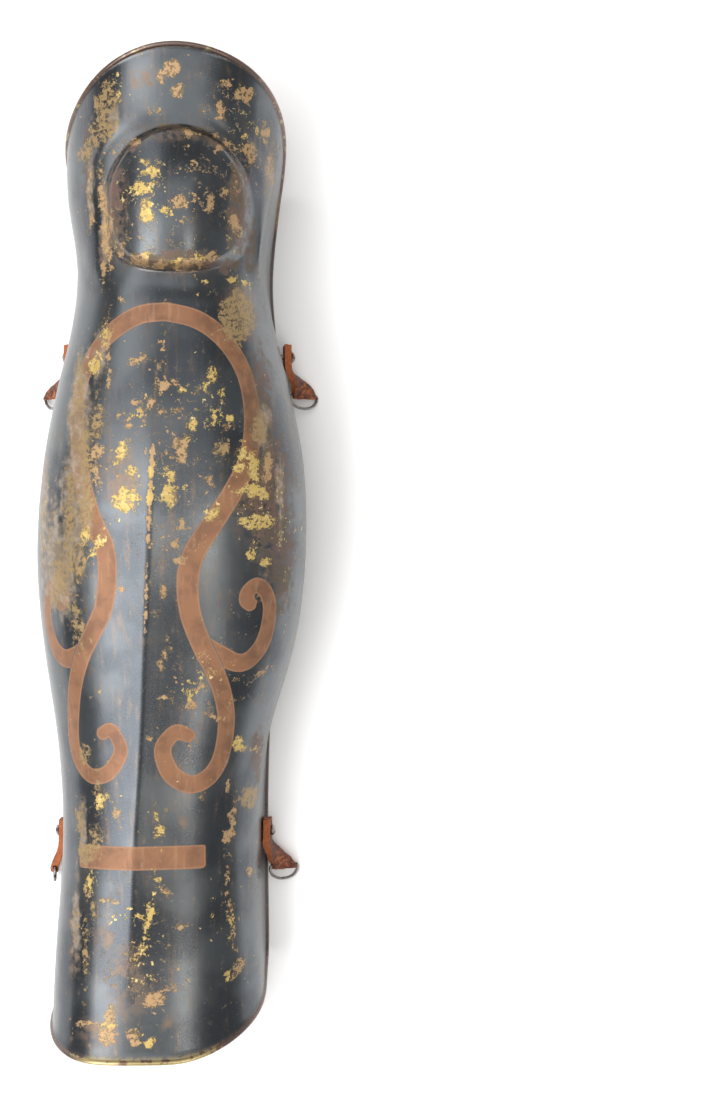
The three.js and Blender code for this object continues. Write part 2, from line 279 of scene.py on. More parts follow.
def copy_of_node(node: str, name: str) -> bpy.types.Object:
    """Copy a CAD node's mesh into a new piece and merge its loose triangles.

    Args:
        node: the CAD node.
        name: the new piece's name.

    Returns:
        The new piece.
    """
    piece = bpy.data.objects.new(name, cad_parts[node].data.copy())
    bpy.context.scene.collection.objects.link(piece)
    piece.data.name = name
    piece.data.materials.clear()
    make_active(piece)
    bpy.ops.object.mode_set(mode="EDIT")
    bpy.ops.mesh.select_all(action="SELECT")
    bpy.ops.mesh.remove_doubles(threshold=MERGE_DISTANCE)
    bpy.ops.object.mode_set(mode="OBJECT")
    return piece


def apply_modifier(piece: bpy.types.Object, kind: str, **settings: object) -> None:
    """Add a modifier to a piece and apply it.

    Args:
        piece: the piece.
        kind: the modifier's type.
        settings: its properties.
    """
    make_active(piece)
    modifier = piece.modifiers.new(kind.lower(), kind)
    for name, value in settings.items():
        setattr(modifier, name, value)
    bpy.ops.object.modifier_apply(modifier=modifier.name)


def subdivide_smoothly(piece: bpy.types.Object, levels: int) -> None:
    """Apply a subdivision surface of this many levels."""
    apply_modifier(piece, "SUBSURF", levels=levels, render_levels=levels)


def points_of(piece: bpy.types.Object) -> np.ndarray:
    """The places of a piece's points.

    Args:
        piece: the piece.

    Returns:
        One place a row, in metres.
    """
    places = np.empty(len(piece.data.vertices) * 3)
    piece.data.vertices.foreach_get("co", places)
    return places.reshape(-1, 3)


def normals_of(piece: bpy.types.Object) -> np.ndarray:
    """The directions that a piece's points face.

    Args:
        piece: the piece.

    Returns:
        One normal a row.
    """
    normals = np.empty(len(piece.data.vertices) * 3)
    piece.data.vertex_normals.foreach_get("vector", normals)
    return normals.reshape(-1, 3)


def move_points(piece: bpy.types.Object, places: np.ndarray) -> None:
    """Put the piece's points at these places."""
    piece.data.vertices.foreach_set("co", places.ravel())
    piece.data.update()


def write_attribute(piece: bpy.types.Object, name: str, values: np.ndarray) -> None:
    """Store one number for each point of the piece."""
    found = piece.data.attributes.get(name) or piece.data.attributes.new(name, "FLOAT", "POINT")
    found.data.foreach_set("value", values.astype(np.float32))


def read_attribute(piece: bpy.types.Object, name: str) -> np.ndarray:
    """Read the numbers stored for a piece's points.

    Args:
        piece: the piece.
        name: the attribute.

    Returns:
        One number a point.
    """
    values = np.empty(len(piece.data.vertices), np.float32)
    piece.data.attributes[name].data.foreach_get("value", values)
    return values.astype(float)


def noise_at(places: np.ndarray, size_mm: float, shift: float = 0.0) -> np.ndarray:
    """Smooth random values at places.

    Args:
        places: one place a row, in metres.
        size_mm: the size of the largest bumps.
        shift: an offset, for a different pattern.

    Returns:
        One value a place, about -0.5 to 0.5.
    """
    scale = 1 / (size_mm * MM)
    away = Vector((shift, -shift, shift / 2))
    return np.array([noise.noise(Vector(place) * scale + away) for place in places]) * 0.5


def smooth_step(values: np.ndarray, low: float, high: float) -> np.ndarray:
    """A soft step from 0 at low to 1 at high."""
    share = np.clip((values - low) / (high - low), 0, 1)
    return share * share * (3 - 2 * share)


def finish_piece(
    piece: bpy.types.Object, node: str, material: bpy.types.Material
) -> None:
    """Dress a piece and put it in place of its CAD node.

    Args:
        piece: the finished mesh.
        node: the CAD node that it stands for.
        material: its finish.
    """
    piece.data.materials.clear()
    piece.data.materials.append(material)
    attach(piece, BODY)
    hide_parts(node)
    triangles = sum(len(face.vertices) - 2 for face in piece.data.polygons)
    log.info("%s: %d triangles", piece.name, triangles)


# ---- the copper scroll ----
@dataclass(frozen=True)
class Stroke:
    """A band of the scroll: points of its middle line in plan, in millimetres, and its widths."""

    points: tuple[tuple[float, float], ...]
    widths: tuple[float, ...]

    def middle_line(self, spacing_mm: float) -> tuple[np.ndarray, np.ndarray]:
        """The smooth curve through the points.

        Args:
            spacing_mm: the distance between its samples, about.

        Returns:
            The samples in plan and the half width at each, in millimetres.
        """
        points = np.array(self.points, float)
        ends = np.vstack([2 * points[0] - points[1], points, 2 * points[-1] - points[-2]])
        samples = []
        for i in range(len(points) - 1):
            a, b, c, d = ends[i:i + 4]
            count = max(2, math.ceil(float(np.linalg.norm(c - b)) / spacing_mm))
            t = np.linspace(0, 1, count, endpoint=False)[:, None]
            samples.append(0.5 * (2 * b + (c - a) * t + (2 * a - 5 * b + 4 * c - d) * t ** 2
                                  + (3 * b - a - 3 * c + d) * t ** 3))
        line = np.vstack([*samples, points[-1:]])
        along = np.linspace(0, 1, len(line))
        half = np.interp(along, np.linspace(0, 1, len(self.widths)), self.widths) / 2
        return line, half


ARMS = (
    Stroke(((1, 117), (14, 114), (24, 108), (32, 99), (38, 87), (41, 72), (41, 57), (38, 44),
            (31, 30), (22, 16), (14, 3), (11, -10), (12, -25), (17, -40), (23, -53), (27, -66),
            (28, -80), (25, -96), (19, -105), (11, -108), (3, -104), (-1, -97), (-2, -90), (1, -85),
            (5, -82), (10, -84)),
           (9, 9, 9, 9.4, 10, 10.6, 9.6, 9, 9, 9, 7)),
    Stroke(((1, 117), (-10, 116), (-19, 112), (-28, 105), (-35, 96), (-40, 84), (-42, 70),
            (-41, 55), (-39, 38), (-34, 20), (-28, 6), (-27, -8), (-29, -22), (-34, -33),
            (-40, -45), (-44, -58), (-46, -74), (-46, -88), (-43, -98), (-37, -104), (-30, -103),
            (-25, -98), (-22, -91), (-24, -85), (-27, -81), (-31, -83)),
           (9, 9, 9, 9, 9.4, 9.6, 9, 8.4, 8, 7.6, 6.4)),
)
SIDE_CURLS = (
    Stroke(((17, -38), (26, -45), (33, -49), (39, -48), (45, -41), (48, -32), (49, -22), (47, -15),
            (43, -12), (39, -15), (38, -19), (40, -21)),
           (6, 9, 9, 9, 8, 7.4, 7)),
    Stroke(((-36, -39), (-44, -46), (-50, -47), (-55, -42), (-58, -33), (-59, -24), (-57, -15),
            (-54, -12), (-50, -14), (-49, -19), (-51, -21)),
           (6, 9, 9, 9, 8, 7.4, 7)),
)


@dataclass(frozen=True)
class Bar:
    """The straight copper bar above the ankle, in millimetres."""

    left: float = -44.0
    right: float = 17.5
    low: float = -149.5
    high: float = -138.0

    def distance(self, plan: np.ndarray) -> np.ndarray:
        """How far places lie outside the bar.

        Args:
            plan: one place in plan a row, in millimetres.

        Returns:
            Millimetres outside its edge, negative inside.
        """
        across = np.maximum(self.left - plan[:, 0], plan[:, 0] - self.right)
        along = np.maximum(self.low - plan[:, 1], plan[:, 1] - self.high)
        return np.maximum(across, along)


@dataclass(frozen=True)
class Scroll:
    """All the copper bands, laid on the sheet."""

    arms: tuple[Stroke, ...] = ARMS
    curls: tuple[Stroke, ...] = SIDE_CURLS
    bar: Bar = Bar()
    spacing_mm: float = 0.8
    farthest_mm: float = 6.0
    batch: int = 4000
    over_sheet: float = 1.0

    def distances(
        self, places: np.ndarray, strokes: Sequence[Stroke], surface: BVHTree
    ) -> np.ndarray:
        """How far places lie from the edge of some bands.

        Args:
            places: one place a row, in metres.
            strokes: the bands.
            surface: the sheet that they lie on.

        Returns:
            Millimetres outside the nearest band's edge, negative inside.
        """
        nearest = np.full(len(places), self.farthest_mm)
        for stroke in strokes:
            plan, half = stroke.middle_line(self.spacing_mm)
            line = np.array([self.on_sheet(point, surface) for point in plan]) / MM
            margin = self.farthest_mm * 2
            low, high = line.min(0) - margin, line.max(0) + margin
            near = np.flatnonzero(((places / MM > low) & (places / MM < high)).all(1))
            for some in np.array_split(near, max(1, len(near) // self.batch)):
                gaps = np.linalg.norm(places[some, None] / MM - line[None], axis=2) - half
                nearest[some] = np.minimum(nearest[some], gaps.min(1))
        return nearest

    def on_sheet(self, point: np.ndarray, surface: BVHTree) -> Vector:
        """The place on the sheet straight below a point in plan.

        Args:
            point: the point, in millimetres.
            surface: the sheet.

        Returns:
            The place, in metres.
        """
        above = Vector((point[0] * MM, point[1] * MM, self.over_sheet))
        hit = surface.ray_cast(above, Vector((0, 0, -1)))[0]
        return hit or above


# ---- wear ----
class Wear(Enum):
    """What shows where the black patina has come off."""

    GOLD = "bright yellow brass"
    TAN = "brass dulled to tan"
    OLIVE = "brass under a broken olive film"
    HAZE = "a brown cloud over the patina"
    VEIL = "a thick tan film over the patina"
    # Partly a dark brown film and partly painted shade, laid in the valley round the knee boss and
    # down the right flank of the calf.
    SHADE_AND_STAIN = "a dull dark brown film over the patina"
    FLECKS = "a scatter of small flecks"


@dataclass(frozen=True)
class Patch:
    """An oval patch in plan, in millimetres.

    Its length lies along +Y, turned anticlockwise by the tilt in degrees.
    """

    x: float
    y: float
    width: float
    length: float
    tilt: float = 0.0

    def reach(self, plan: np.ndarray) -> np.ndarray:
        """How far out places lie, as a share of the patch's size.

        Args:
            plan: one place in plan a row, in millimetres.

        Returns:
            0 at the patch's middle and 1 at its edge.
        """
        turn = math.radians(self.tilt)
        dx, dy = plan[:, 0] - self.x, plan[:, 1] - self.y
        across = dx * math.cos(turn) + dy * math.sin(turn)
        along = dy * math.cos(turn) - dx * math.sin(turn)
        return np.hypot(2 * across / self.width, 2 * along / self.length)

    def distance(self, plan: np.ndarray) -> np.ndarray:
        """Millimetres outside the patch's edge, about, and negative inside."""
        return (self.reach(plan) - 1) * min(self.width, self.length) / 2


def scratch(x0: float, y0: float, x1: float, y1: float, width: float) -> tuple[float, ...]:
    """A long thin patch from one place to another."""
    tilt = math.degrees(math.atan2(x0 - x1, y1 - y0))
    return ((x0 + x1) / 2, (y0 + y1) / 2, width, math.hypot(x1 - x0, y1 - y0), tilt)


WEAR_CHART: dict[Wear, tuple[tuple[float, ...], ...]] = {
    Wear.GOLD: (
        # knee flare
        (-22, 220, 2, 3), (36, 223, 3, 3), (4, 233, 3, 3), (37, 201, 3, 8, -20), (42, 207, 3, 4),
        (-3, 212, 3, 3),
        # knee boss
        (-8, 143, 4, 2.5), (6, 140, 4, 2.5), (17, 142, 4, 2.5), (-24, 150, 2, 4), (30, 150, 2, 4),
        (-8, 186, 5, 4), (-6, 181, 8, 4, 20), (-10, 174, 14, 6), (-8, 164, 8, 10), (1, 164, 3, 5),
        (31, 134, 4, 4), (37, 133, 4, 2), (18, 132, 3, 2),
        # arch
        (-28, 107, 4, 9), (-33, 92, 6, 8), (22, 87, 6, 7), (20, 83, 2, 5), (27, 77, 2, 8),
        (31, 67, 6, 3), (23, 68, 4, 4), (21, 64, 3, 3), (9, 80, 5, 2), (-14, 69, 5, 2),
        (14, 62, 4, 9, -20), (3, 31, 9, 12), (3, 41, 8, 5), (-18, 29, 12, 12, 20), (-14, 40, 4, 6),
        (-20, 50, 5, 10, -20), (34, 50, 3, 4), (23, 22, 4, 8, -30), (27, 52, 4, 8),
        # calf
        (36, 48, 5, 12), (42, 44, 5, 13), (42, 32, 13, 7), (43, 18, 17, 7), (41, 4, 4, 9),
        (47, -1, 6, 4), (-37, 14, 5, 9), (-30, 9, 7, 7), (-34, 4, 4, 5),
        # shin
        (11, -65, 4, 5), (16, -57, 2, 5), (-32, -115, 8, 6), (-33, -119, 4, 5), (-6, -125, 3, 5),
        (-4, -131, 5, 5), (-3, -137, 2, 4), (33, -89, 6, 7),
        # ankle
        (-39, -158, 3, 13), (20, -174, 2, 4), (-8, -232, 6, 6), (-8, -153, 3, 5, 20),
        (28, -204, 4, 4), scratch(-6, -159, -13, -186, 2.4), scratch(-14, -173, -6, -173, 1.6),
        scratch(30, -173, 29, -180, 1.6), scratch(-38, -225, -27, -225, 2.2),
    ),
    Wear.TAN: (
        (4, 231, 7, 8), (0, 227, 5, 5), (6, 221, 7, 6), (37, 221, 8, 8), (30, 225, 4, 4),
        (26, 212, 4, 9), (-4, 211, 4, 6, 20), (47, 205, 4, 8), (40, 195, 6, 7), (-36, 165, 3, 8),
        scratch(-31, 183, -27, 138, 4), scratch(29, 198, 38, 192, 1.2), (7, 167, 4, 5),
        (23, 167, 4, 8), (28, 174, 3, 5), (-12, 141, 12, 4, -15), (0, 139, 10, 3.5),
        (12, 139, 12, 4, 8), (22, 143, 9, 4, 30), (-20, 148, 4, 8, -30), (-25, 158, 3, 8),
        (33, 158, 4, 9), (34, 178, 3, 8), (26, 194, 4, 8, -50), (12, 201, 9, 3, -15),
        (-14, 196, 5, 5), (13, 134, 2, 3), (-20, 122, 2, 5, 20), scratch(-27, 113, -26, 87, 2.4),
        (-11, 94, 9, 4), scratch(0, 106, 0, 93, 1.2), scratch(-3.5, 91, -4, 79, 1.2),
        scratch(-4, 79, -10, 66, 1.2), (2, 82, 9, 4), (15, 80, 3, 1.5), (30, 62, 3, 2),
        (-19, 70, 3, 5), (-12, 73, 5, 2), (-17, 65, 2, 4), (3, 70, 6, 2), (-32, 51, 7, 8),
        (-32, 38, 4, 11), (8, 52, 7, 11), (22, 38, 4, 5), (48, 45, 4, 17), (8, 0, 6, 5),
        (9, 17, 3, 6, 45), (6, 8, 3, 4), (-5, -25, 3, 3), (0, -43, 4, 6), (1, -37, 2, 4),
        (12, -70, 7, 4), (15, -61, 3, 3), (-8, -85, 4, 3), (29, -134, 6, 6), (-1, -121, 2, 3),
        (-1, -160, 3, 5, 45), (28, -110, 2, 4), (-8, -212, 13, 9, 20), (1, -206, 4, 4),
        (-38, -225, 12, 3), (-28, -219, 5, 8), (-29, -230, 9, 7), (-17, -230, 7, 9, 30),
        (6, -177, 4, 3), (-17, -192, 2, 4), (-20, -15, 2, 2), (-1, -15, 3, 4),
        (33, -199, 4, 8, -40), (38, -154, 4, 3), (-25, -165, 3, 4), (-40, -162, 4, 4),
        scratch(18, -72, 25, -77, 1.4), scratch(36, -57, 48, -53, 1.6),
        scratch(34, -93, 42, -93, 1.5), scratch(28, -148, 27, -165, 1.3),
        scratch(27, -165, 30, -173, 1.3), scratch(29, -180, 32, -191, 1.3),
        scratch(31, -116, 30, -130, 2), scratch(49, 194, 50, 168, 3), (-30, 138, 3, 10),
        (-2, -50, 2, 4), (-25, -122, 3, 4),
    ),
    Wear.OLIVE: (
        (-28, 217, 11, 16), (-30, 205, 13, 14), (-37, 197, 14, 8, 30), (34, 116, 15, 30),
        (-32, 66, 6, 22), (-41, 84, 4, 24), (-38, 52, 5, 26), (-36, 32, 5, 22), (-45, 26, 4, 30),
        (-51, -8, 8, 16), (-54, -18, 5, 10), (-46, 2, 5, 24), (27, 52, 7, 10), (-40, -2, 5, 14),
        (-43, -28, 3, 18), (-40, -33, 3, 14), (-40, -94, 6, 8), (-34, -108, 3, 10),
        (-43, -128, 4, 20), (-36, -135, 5, 13), (-40, -143, 10, 11), (38, -117, 8, 11),
        (16, -114, 4, 3), (-41, -190, 3, 26), (-37, -170, 4, 12), (44, 62, 7, 14), (-37, 22, 8, 20),
    ),
    Wear.HAZE: (
        (-10, 226, 16, 12), (49, 182, 7, 38), (-21, 170, 9, 44), (33, 168, 9, 44), (5, 200, 44, 8),
        (4, 140, 52, 12), (7, -126, 6, 8), (-1, -224, 7, 7), (-47, -177, 7, 12), (-48, -195, 5, 24),
        (-31, -182, 10, 14), (-20, 40, 20, 30), (40, 30, 22, 50), (-36, -228, 24, 14),
        (34, 118, 18, 34), (-20, -205, 24, 40),
    ),
    Wear.VEIL: (
        (54, 34, 6, 40), (-43, 26, 20, 84), (-48, -6, 16, 60), (-41, 66, 15, 84), (-54, 4, 12, 70),
        (-50, -14, 10, 16), (-36, 176, 5, 40), (50, 184, 6, 34), (46, 64, 8, 30), (-29, 160, 6, 48),
        (-46, -178, 6, 60), (-42, -130, 6, 40), (-31, 96, 8, 36), (-24, 208, 8, 16),
        (-60, 20, 8, 100),
    ),
    Wear.SHADE_AND_STAIN: (
        # painted shade round the knee boss and on the right flank of the calf, among some dark
        # brown film
        (50, 30, 24, 96), (55, 0, 14, 70), (44, 74, 18, 70), (-23, 168, 12, 56), (34, 168, 13, 58),
        (40, 150, 8, 36), (-31, 150, 5, 30), (30, 140, 16, 8, 30), (-14, 195, 14, 7, 30),
        (24, 196, 16, 6, -40), (4, 141, 56, 12), (51, 186, 8, 44), (-38, 190, 6, 50),
        (42, -96, 9, 40), (4, 204, 44, 4),
    ),
    Wear.FLECKS: (
        (-37, 189, 5, 18), (-20, 18, 12, 8), (17, 29, 9, 8), (52, -12, 9, 18), (39, -27, 5, 5),
        (38, -34, 12, 8), (31, -22, 4, 4), (-3, -169, 6, 6), (1, -167, 6, 6), (5, -165, 6, 6),
        (4, -228, 10, 6), (-32, -160, 5, 8), (-23, -182, 4, 8), (-23, -201, 4, 10),
        (27, -219, 6, 5), (33, -218, 6, 5), (19, -215, 6, 6), (24, 58, 30, 40), (-24, 50, 26, 50),
        (38, 30, 26, 50), (0, 165, 50, 50), (-36, 10, 22, 50), (-30, -125, 20, 50),
        (-28, -170, 30, 60), (56, 0, 12, 70), (30, 200, 36, 60), (-25, 210, 28, 50),
        (4, 60, 60, 70), (2, 20, 60, 50), (4, 170, 64, 60), (-10, -200, 50, 60), (34, 120, 24, 40),
        (20, -60, 60, 40),
    ),
}


@dataclass(frozen=True)
class WearMap:
    """Turns the chart into numbers on the sheet's points."""

    ragged_mm: float = 1.5
    bays_mm: float = 9.0
    nicks_mm: float = 4.0
    farthest_mm: float = 8.0
    cloud_edge: tuple[float, float] = (0.3, 1.25)
    gold_edge_mm: float = 1.5
    olive_edge_mm: float = 1.0
    facing_up: tuple[float, float] = (0.0, 0.3)
    flank: tuple[float, float] = (0.25, 0.7)
    flank_flecks: float = 0.45

    def patches(self, wear: Wear) -> list[Patch]:
        """The chart's patches of one kind."""
        return [Patch(*values) for values in WEAR_CHART[wear]]

    def distance(self, wear: Wear, plan: np.ndarray) -> np.ndarray:
        """How far places lie from the patches of one kind.

        Args:
            wear: the kind.
            plan: one place in plan a row, in millimetres.

        Returns:
            Millimetres outside the nearest patch's edge, negative inside.
        """
        nearest = np.full(len(plan), self.farthest_mm)
        for patch in self.patches(wear):
            nearest = np.minimum(nearest, patch.distance(plan))
        return nearest

    def cloud(self, wear: Wear, plan: np.ndarray) -> np.ndarray:
        """A soft cloud over each patch of one kind.

        Args:
            wear: the kind.
            plan: one place in plan a row, in millimetres.

        Returns:
            1 in the middle of a patch and 0 outside it.
        """
        share = np.zeros(len(plan))
        for patch in self.patches(wear):
            share = np.maximum(share, 1 - smooth_step(patch.reach(plan), *self.cloud_edge))
        return share

    def warped(self, places: np.ndarray) -> np.ndarray:
        """Shift places a little, so that patches get ragged outlines.

        Args:
            places: one place a row, in metres.

        Returns:
            The shifted places in plan, in millimetres.
        """
        bays = [noise_at(places, self.bays_mm, shift) for shift in (3.0, 17.0)]
        nicks = [noise_at(places, self.nicks_mm, shift) for shift in (5.0, 29.0)]
        wander = np.array(bays).T * 2 * self.ragged_mm + np.array(nicks).T * self.ragged_mm
        return places[:, :2] / MM + wander

    def write(self, piece: bpy.types.Object, outside: np.ndarray) -> None:
        """Store the wear on the sheet's points.

        Args:
            piece: the finished sheet.
            outside: 1 for points of its outer face and 0 for the others.
        """
        places = points_of(piece)
        normals = normals_of(piece)
        seen = outside * smooth_step(normals[:, 2], *self.facing_up)
        flank = outside * (1 - smooth_step(normals[:, 2], *self.flank))
        hidden = (1 - seen) * self.farthest_mm
        plan = self.warped(places)
        gold = self.distance(Wear.GOLD, plan)
        tan = self.distance(Wear.TAN, plan)
        olive = self.distance(Wear.OLIVE, plan)
        golden = smooth_step(np.minimum(tan, olive) - gold, -self.gold_edge_mm, self.gold_edge_mm)
        dulled = smooth_step(np.minimum(tan, gold) - olive, -self.olive_edge_mm, self.olive_edge_mm)
        flecks = np.maximum(self.cloud(Wear.FLECKS, plan) * seen, self.flank_flecks * flank)
        write_attribute(piece, "peel", np.minimum(np.minimum(gold, tan), olive) + hidden)
        write_attribute(piece, "gold", golden)
        write_attribute(piece, "olive", dulled)
        write_attribute(piece, "flecks", flecks)
        for wear in (Wear.HAZE, Wear.VEIL, Wear.SHADE_AND_STAIN):
            write_attribute(piece, wear.name.lower(), self.cloud(wear, plan) * seen)


# ---- finishes ----
class SheetGrain:
    """The patterns that every layer of the sheet's finish shares."""

    FINE_MM = 0.9
    RAGGED_MM = 4.5
    BROAD_MM = 34
    STREAK_MM = 2.6
    STREAK_SHAPE = (1.0, 0.06, 1.0)

    def __init__(self, shader: Shader) -> None:
        """Make the patterns.

        Args:
            shader: the sheet's shader.
        """
        drawn_out = shader.stretched(self.STREAK_SHAPE)
        self.fine = shader.noise(self.FINE_MM, 3, 0.65)
        self.ragged = shader.noise(self.RAGGED_MM, 5, 0.68)
        self.broad = shader.noise(self.BROAD_MM, 3, 0.5)
        self.streaks = shader.noise(self.STREAK_MM, 4, 0.6, drawn_out)

    def frayed(self, value: Field, ragged: float, fine: float) -> Field:
        """A value with its contours frayed by this much."""
        return value + (self.ragged - 0.5) * ragged + (self.fine - 0.5) * fine


@dataclass(frozen=True)
class PatinatedBrass:
    """Black patina over brass, with copper bands let into it.

    A cover is how much of what lies below a film hides. A fray is how far the ragged and the fine
    pattern move a film's outline, and a line or an edge is where it starts and ends beside the edge
    of a copper band, in millimetres. The line is a painted highlight just inside that edge.
    """

    patina: Colour = (0.128, 0.140, 0.150)
    patina_dark: Colour = (0.082, 0.090, 0.100)
    patina_brown: Colour = (0.20, 0.14, 0.10)
    veil: Colour = (0.25, 0.185, 0.115)
    veil_pale: Colour = (0.38, 0.31, 0.24)
    # The next two colours are a dark brown film that is also painted shade round the knee boss and
    # on the right flank of the calf.
    shade_and_stain: Colour = (0.095, 0.064, 0.036)
    red_shade_and_stain: Colour = (0.125, 0.07, 0.05)
    brass: Colour = (0.52, 0.37, 0.115)
    # Pale brass that is partly a painted highlight in the brightest brass patches.
    pale_brass_and_highlight: Colour = (0.68, 0.55, 0.27)
    tan: Colour = (0.40, 0.255, 0.13)
    olive: Colour = (0.27, 0.195, 0.092)
    copper: Colour = (0.265, 0.125, 0.062)
    copper_dark: Colour = (0.18, 0.086, 0.046)
    # Paler copper for streaks in the bands, and the colour of the painted highlight along their
    # edges.
    pale_copper_and_highlight: Colour = (0.38, 0.21, 0.12)
    inside: Colour = (0.16, 0.12, 0.075)
    rim: Colour = (0.26, 0.155, 0.115)
    # Brass of the rubbed rim, partly a painted highlight along the middle of the ankle rim.
    worn_rim_and_highlight: Colour = (0.55, 0.44, 0.22)
    haze_cover: float = 0.9
    inlay_cover: float = 0.95
    shade_and_stain_cover: float = 0.85
    shade_and_stain_off_inlay: float = 0.4
    veil_cover: float = 0.78
    fringe_cover: float = 0.6
    inlay_fray_mm: float = 0.4
    inlay_edge_mm: tuple[float, float] = (0.2, -0.1)
    # Where the painted highlight lies inside a band's edge.
    edge_highlight_mm: tuple[float, float] = (-0.9, -0.5)
    seam_mm: tuple[float, float] = (0.5, 0.1)
    shade_and_stain_fray_mm: tuple[float, float] = (3.2, 0.8)
    peel_fray_mm: tuple[float, float] = (11.0, 4.0)
    peel_inset_mm: float = 0.3
    keel_fray_mm: tuple[float, float] = (7.0, 3.0)
    pit_mm: float = 2.2
    crowd_mm: float = 16
    fleck_mm: float = 3.4
    fleck_level: tuple[float, float] = (0.685, 0.70)
    squiggle_mm: float = 4.5
    polish: float = 0.25
    relief_mm: float = 0.07

    def material(self) -> bpy.types.Material:
        """Make the finish.

        Returns:
            The material.
        """
        s = Shader("patinated_brass")
        grain = SheetGrain(s)
        fine, broad = grain.fine, grain.broad
        outside = s.attribute("outside").step(0.4, 0.6)
        inner = 1.0 - outside
        roll = s.attribute("rim").step(0.42, 0.6)
        haze = s.attribute("haze") * grain.ragged.step(0.36, 0.64)
        inlay, copper = self._inlay(s, grain, outside)
        # Painted shade, partly dark film: darker round the knee boss and on the right flank of the
        # calf.
        shade_and_stain = grain.frayed(s.attribute("shade_and_stain"), *self.shade_and_stain_fray_mm).step(0.3, 1.1)
        veil = s.attribute("veil") + (grain.ragged - 0.5) * 2.4 + (grain.streaks - 0.5) * 1.2
        veil = veil.step(0.2, 1.1)
        bare, fringe, metal = self._bare_metal(s, grain, veil, outside)

        colour = s.blend(haze * self.haze_cover, self._patina(s, grain), self.patina_brown)
        colour = s.blend(inlay * self.inlay_cover, colour, copper)
        # Lay the painted shade and dark film over the patina, with less of it over the copper
        # bands.
        shade = s.blend(s.noise(11, 3, 0.6).step(0.42, 0.6), self.shade_and_stain, self.red_shade_and_stain)
        shaded_and_stained = shade_and_stain * (self.shade_and_stain_cover - self.shade_and_stain_off_inlay * inlay)
        colour = s.blend(shaded_and_stained, colour, shade)
        film = s.blend(s.noise(6, 4, 0.65).step(0.4, 0.62), self.veil, self.veil_pale)
        colour = s.blend(veil * self.veil_cover, colour, film)
        colour = s.blend(fringe * self.fringe_cover, colour, self.olive)
        colour = s.blend(bare, colour, metal)
        back = s.blend(s.noise(14, 4, 0.6).step(0.35, 0.7), self.inside, self.patina_dark)
        colour = s.blend(inner, colour, back)
        # Rubbed rim, partly a painted highlight along the middle of the ankle rim.
        rub_and_highlight = s.attribute("rub_and_highlight")
        colour = s.blend(roll * (0.3 + 0.7 * rub_and_highlight), colour, self._rim_colour(s, rub_and_highlight))

        films = (veil * 0.45).most(haze * 0.3).most(shade_and_stain * 0.72)
        dull = (bare * 0.55).most(inlay * 0.6).most(films)
        metallic = 1.0 - dull.most(inner * 0.5).most(roll * 0.2)
        rough = self.polish + broad * 0.08 + dull * 0.3 + inner * 0.2 + (fine - 0.5) * 0.12
        height = fine * 0.22 + grain.streaks * 0.4 + s.cells(7) * 0.3 - bare * 0.8 + inlay * 0.1
        varying = {"Base Color": colour, "Roughness": rough, "Metallic": metallic}
        return s.surface({}, varying, height, self.relief_mm)

    def _patina(self, s: Shader, grain: SheetGrain) -> Field:
        """The black ground with its darker clouds and brown streaks."""
        colour = s.blend(grain.broad.step(0.38, 0.62), self.patina_dark, self.patina)
        return s.blend(grain.streaks.step(0.5, 0.74) * 0.42, colour, self.patina_brown)

    def _inlay(self, s: Shader, grain: SheetGrain, outside: Field) -> tuple[Field, Field]:
        """The copper bands, with a painted highlight just inside their edges.

        Args:
            s: the sheet's shader.
            grain: its patterns.
            outside: 1 on the outer face.

        Returns:
            Where the bands lie and their colour.
        """
        edge, line = self.inlay_edge_mm, self.edge_highlight_mm
        arm = s.attribute("scroll_arm") + (grain.fine - 0.5) * self.inlay_fray_mm
        curl = s.attribute("scroll_curl") + (grain.fine - 0.5) * self.inlay_fray_mm
        inlay = arm.step(*edge).most(curl.step(*edge)) * outside
        # Painted highlight: a paler copper line just inside the edge of each band.
        edge_highlight_line = arm.step(*line).least(arm.step(0.1, -0.1))
        edge_highlight_line = edge_highlight_line.most(curl.step(*line) * arm.step(-0.4, 0.4))
        seam = abs(arm).step(*self.seam_mm) * curl.step(0.5, -0.5)
        copper = s.blend(s.noise(9, 4, 0.6).step(0.4, 0.7), self.copper, self.copper_dark)
        copper = s.blend(grain.streaks.step(0.55, 0.7) * 0.4, copper, self.pale_copper_and_highlight)
        copper = s.blend(edge_highlight_line * 0.4, copper, self.pale_copper_and_highlight)
        return inlay, s.blend(seam * 0.7, copper, self.patina_dark)

    def _bare_metal(
        self, s: Shader, grain: SheetGrain, veil: Field, outside: Field
    ) -> tuple[Field, Field, Field]:
        """The brass that shows where the patina has come off.

        Args:
            s: the sheet's shader.
            grain: its patterns.
            veil: where the tan film lies, in which small flakes are common.
            outside: 1 on the outer face.

        Returns:
            Where metal is bare, the fringe round it, and the metal's colour.
        """
        peel = grain.frayed(s.attribute("peel") + self.peel_inset_mm, *self.peel_fray_mm)
        keel = grain.frayed(s.attribute("keel"), *self.keel_fray_mm)
        olive = s.attribute("olive")
        broken = s.noise(2.4, 4, 0.7).step(0.53, 0.57) * olive
        pits = s.noise(self.pit_mm, 4, 0.7).step(0.46, 0.43)
        worn = (peel.step(0.15, -0.15) * (1.0 - pits)).most(keel.step(0.6, 0.3)) * (1.0 - broken)
        fringe = peel.step(0.7, 0.0) * (1.0 - broken * 0.6)
        flecks = self._flecks(s, veil) * outside
        golden = s.attribute("gold") + (s.noise(2.0, 3, 0.6) - 0.5) * 2.0 + flecks * 0.35
        metal = s.blend(golden.step(0.3, 0.8), self.tan, self.brass)
